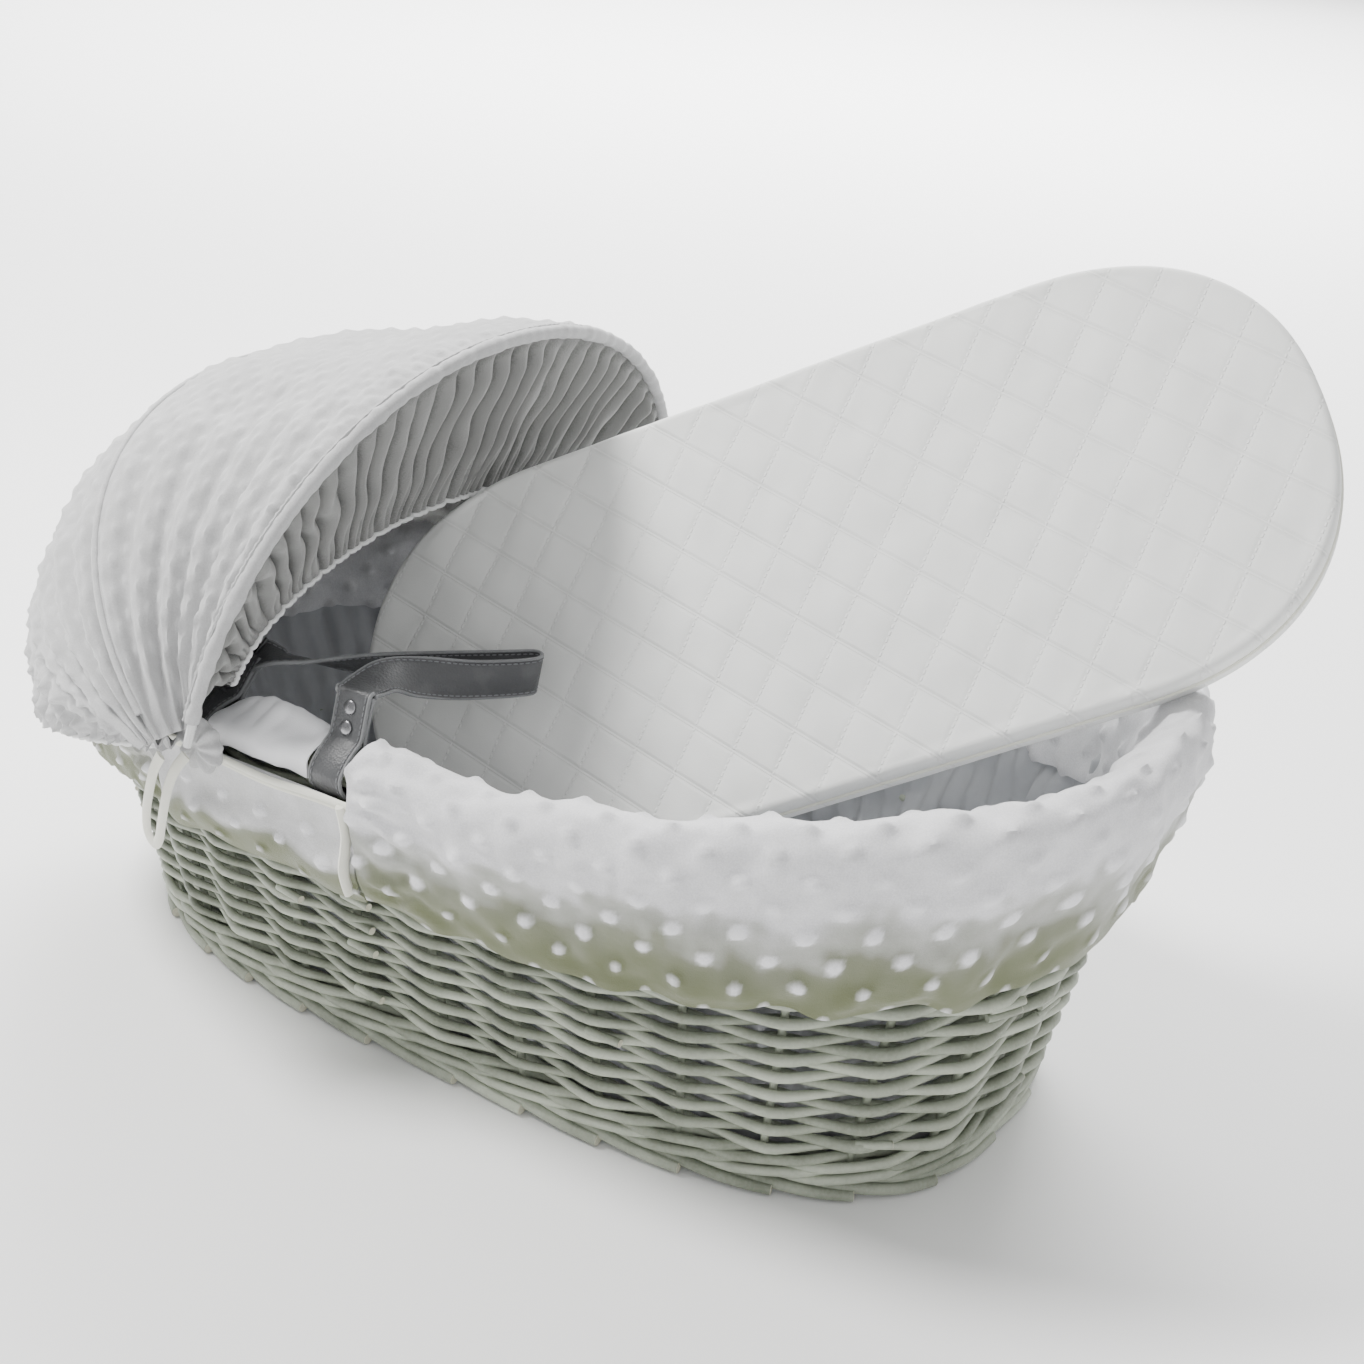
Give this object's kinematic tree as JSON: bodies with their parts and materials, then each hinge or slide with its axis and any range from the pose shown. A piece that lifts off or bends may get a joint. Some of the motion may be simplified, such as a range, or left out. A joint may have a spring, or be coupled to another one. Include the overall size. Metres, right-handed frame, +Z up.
{
  "type": "moses basket cradle",
  "caption": "Oval hand-woven baby basket with a padded dimple-plush cover, a folding cloth hood, riveted strap handles and a quilted mattress leaning out of it.",
  "frame": {"origin": "centre of the base's underside, on the surface the basket stands on", "axes": "+X towards the foot end along the basket's length, the hood is at -X, -Y is the near long side, +Z up"},
  "size_m": [0.9337, 0.5446, 0.5547],
  "materials": {
    "board_wood": "plain plywood",
    "painted_willow": "sage-grey washed willow rods, satin",
    "lining_cloth": "plain white cotton",
    "white_plush": "short white plush with raised dimples",
    "ivory_binding": "ivory bias tape and ribbon",
    "elastic": "woven elastic",
    "spring_strip": "plain",
    "grey_leather": "dark grey grained leather with two rows of stitches",
    "rivet_metal": "domed gunmetal rivets",
    "mattress_foam": "polyether foam",
    "quilted_cotton": "off-white cotton quilted in diamonds"
  },
  "bodies": {
    "root": {"base_board": "board_wood", "foot_border": "painted_willow", "lower_wale": "painted_willow", "woven_side": "painted_willow", "rim_border": "painted_willow", "liner_floor": "lining_cloth", "liner_side": "lining_cloth", "lining_flap_near": "lining_cloth", "lining_flap_far": "lining_cloth", "cover_head": "white_plush", "cover_foot": "white_plush", "cover_flap_near": "white_plush", "cover_flap_far": "white_plush", "hood_canopy": "white_plush", "hood_back": "white_plush", "hood_seam_piping": "white_plush", "hood_corner_near": "white_plush", "hood_corner_far": "white_plush", "opening_binding_near": "ivory_binding", "opening_binding_far": "ivory_binding", "tie_near": "ivory_binding", "tie_far": "ivory_binding", "hood_hem_elastic": "elastic"},
    "hood_front": {"hood_bow": "spring_strip", "hood_bow_casing": "white_plush", "hood_valance": "white_plush", "hood_valance_elastic": "elastic"},
    "handle_near": {"handle_near": "grey_leather", "rivet_near_1": "rivet_metal", "rivet_near_2": "rivet_metal", "rivet_near_3": "rivet_metal", "rivet_near_4": "rivet_metal"},
    "handle_far": {"handle_far": "grey_leather", "rivet_far_1": "rivet_metal", "rivet_far_2": "rivet_metal", "rivet_far_3": "rivet_metal", "rivet_far_4": "rivet_metal"},
    "mattress": {"mattress_foam": "mattress_foam", "mattress_cover_top": "quilted_cotton", "mattress_cover_base": "quilted_cotton", "mattress_seam_piping": "ivory_binding"}
  },
  "joints": [
    {"name": "hood_fold", "type": "hinge", "parent": "root", "child": "hood_front", "pos_m": [-0.131, 0, 0.237], "axis": [0, -1, 0], "range_deg": [0, 74], "deforming": ["hood_canopy", "hood_valance", "hood_valance_elastic"]},
    {"name": "handle_near_swing", "type": "hinge", "parent": "root", "child": "handle_near", "pos_m": [-0.10304, -0.20873, 0.22776], "axis": [0.9967, -0.0718, 0.0388], "range_deg": [0, 60]},
    {"name": "handle_far_swing", "type": "hinge", "parent": "root", "child": "handle_far", "pos_m": [-0.10304, 0.20873, 0.22776], "axis": [-0.9967, -0.0718, -0.0388], "range_deg": [0, 60]},
    {"name": "mattress_lift_out", "type": "slide", "parent": "root", "child": "mattress", "axis": [0.8189, 0.3749, 0.4344], "range_m": [0, 0.6]}
  ]
}
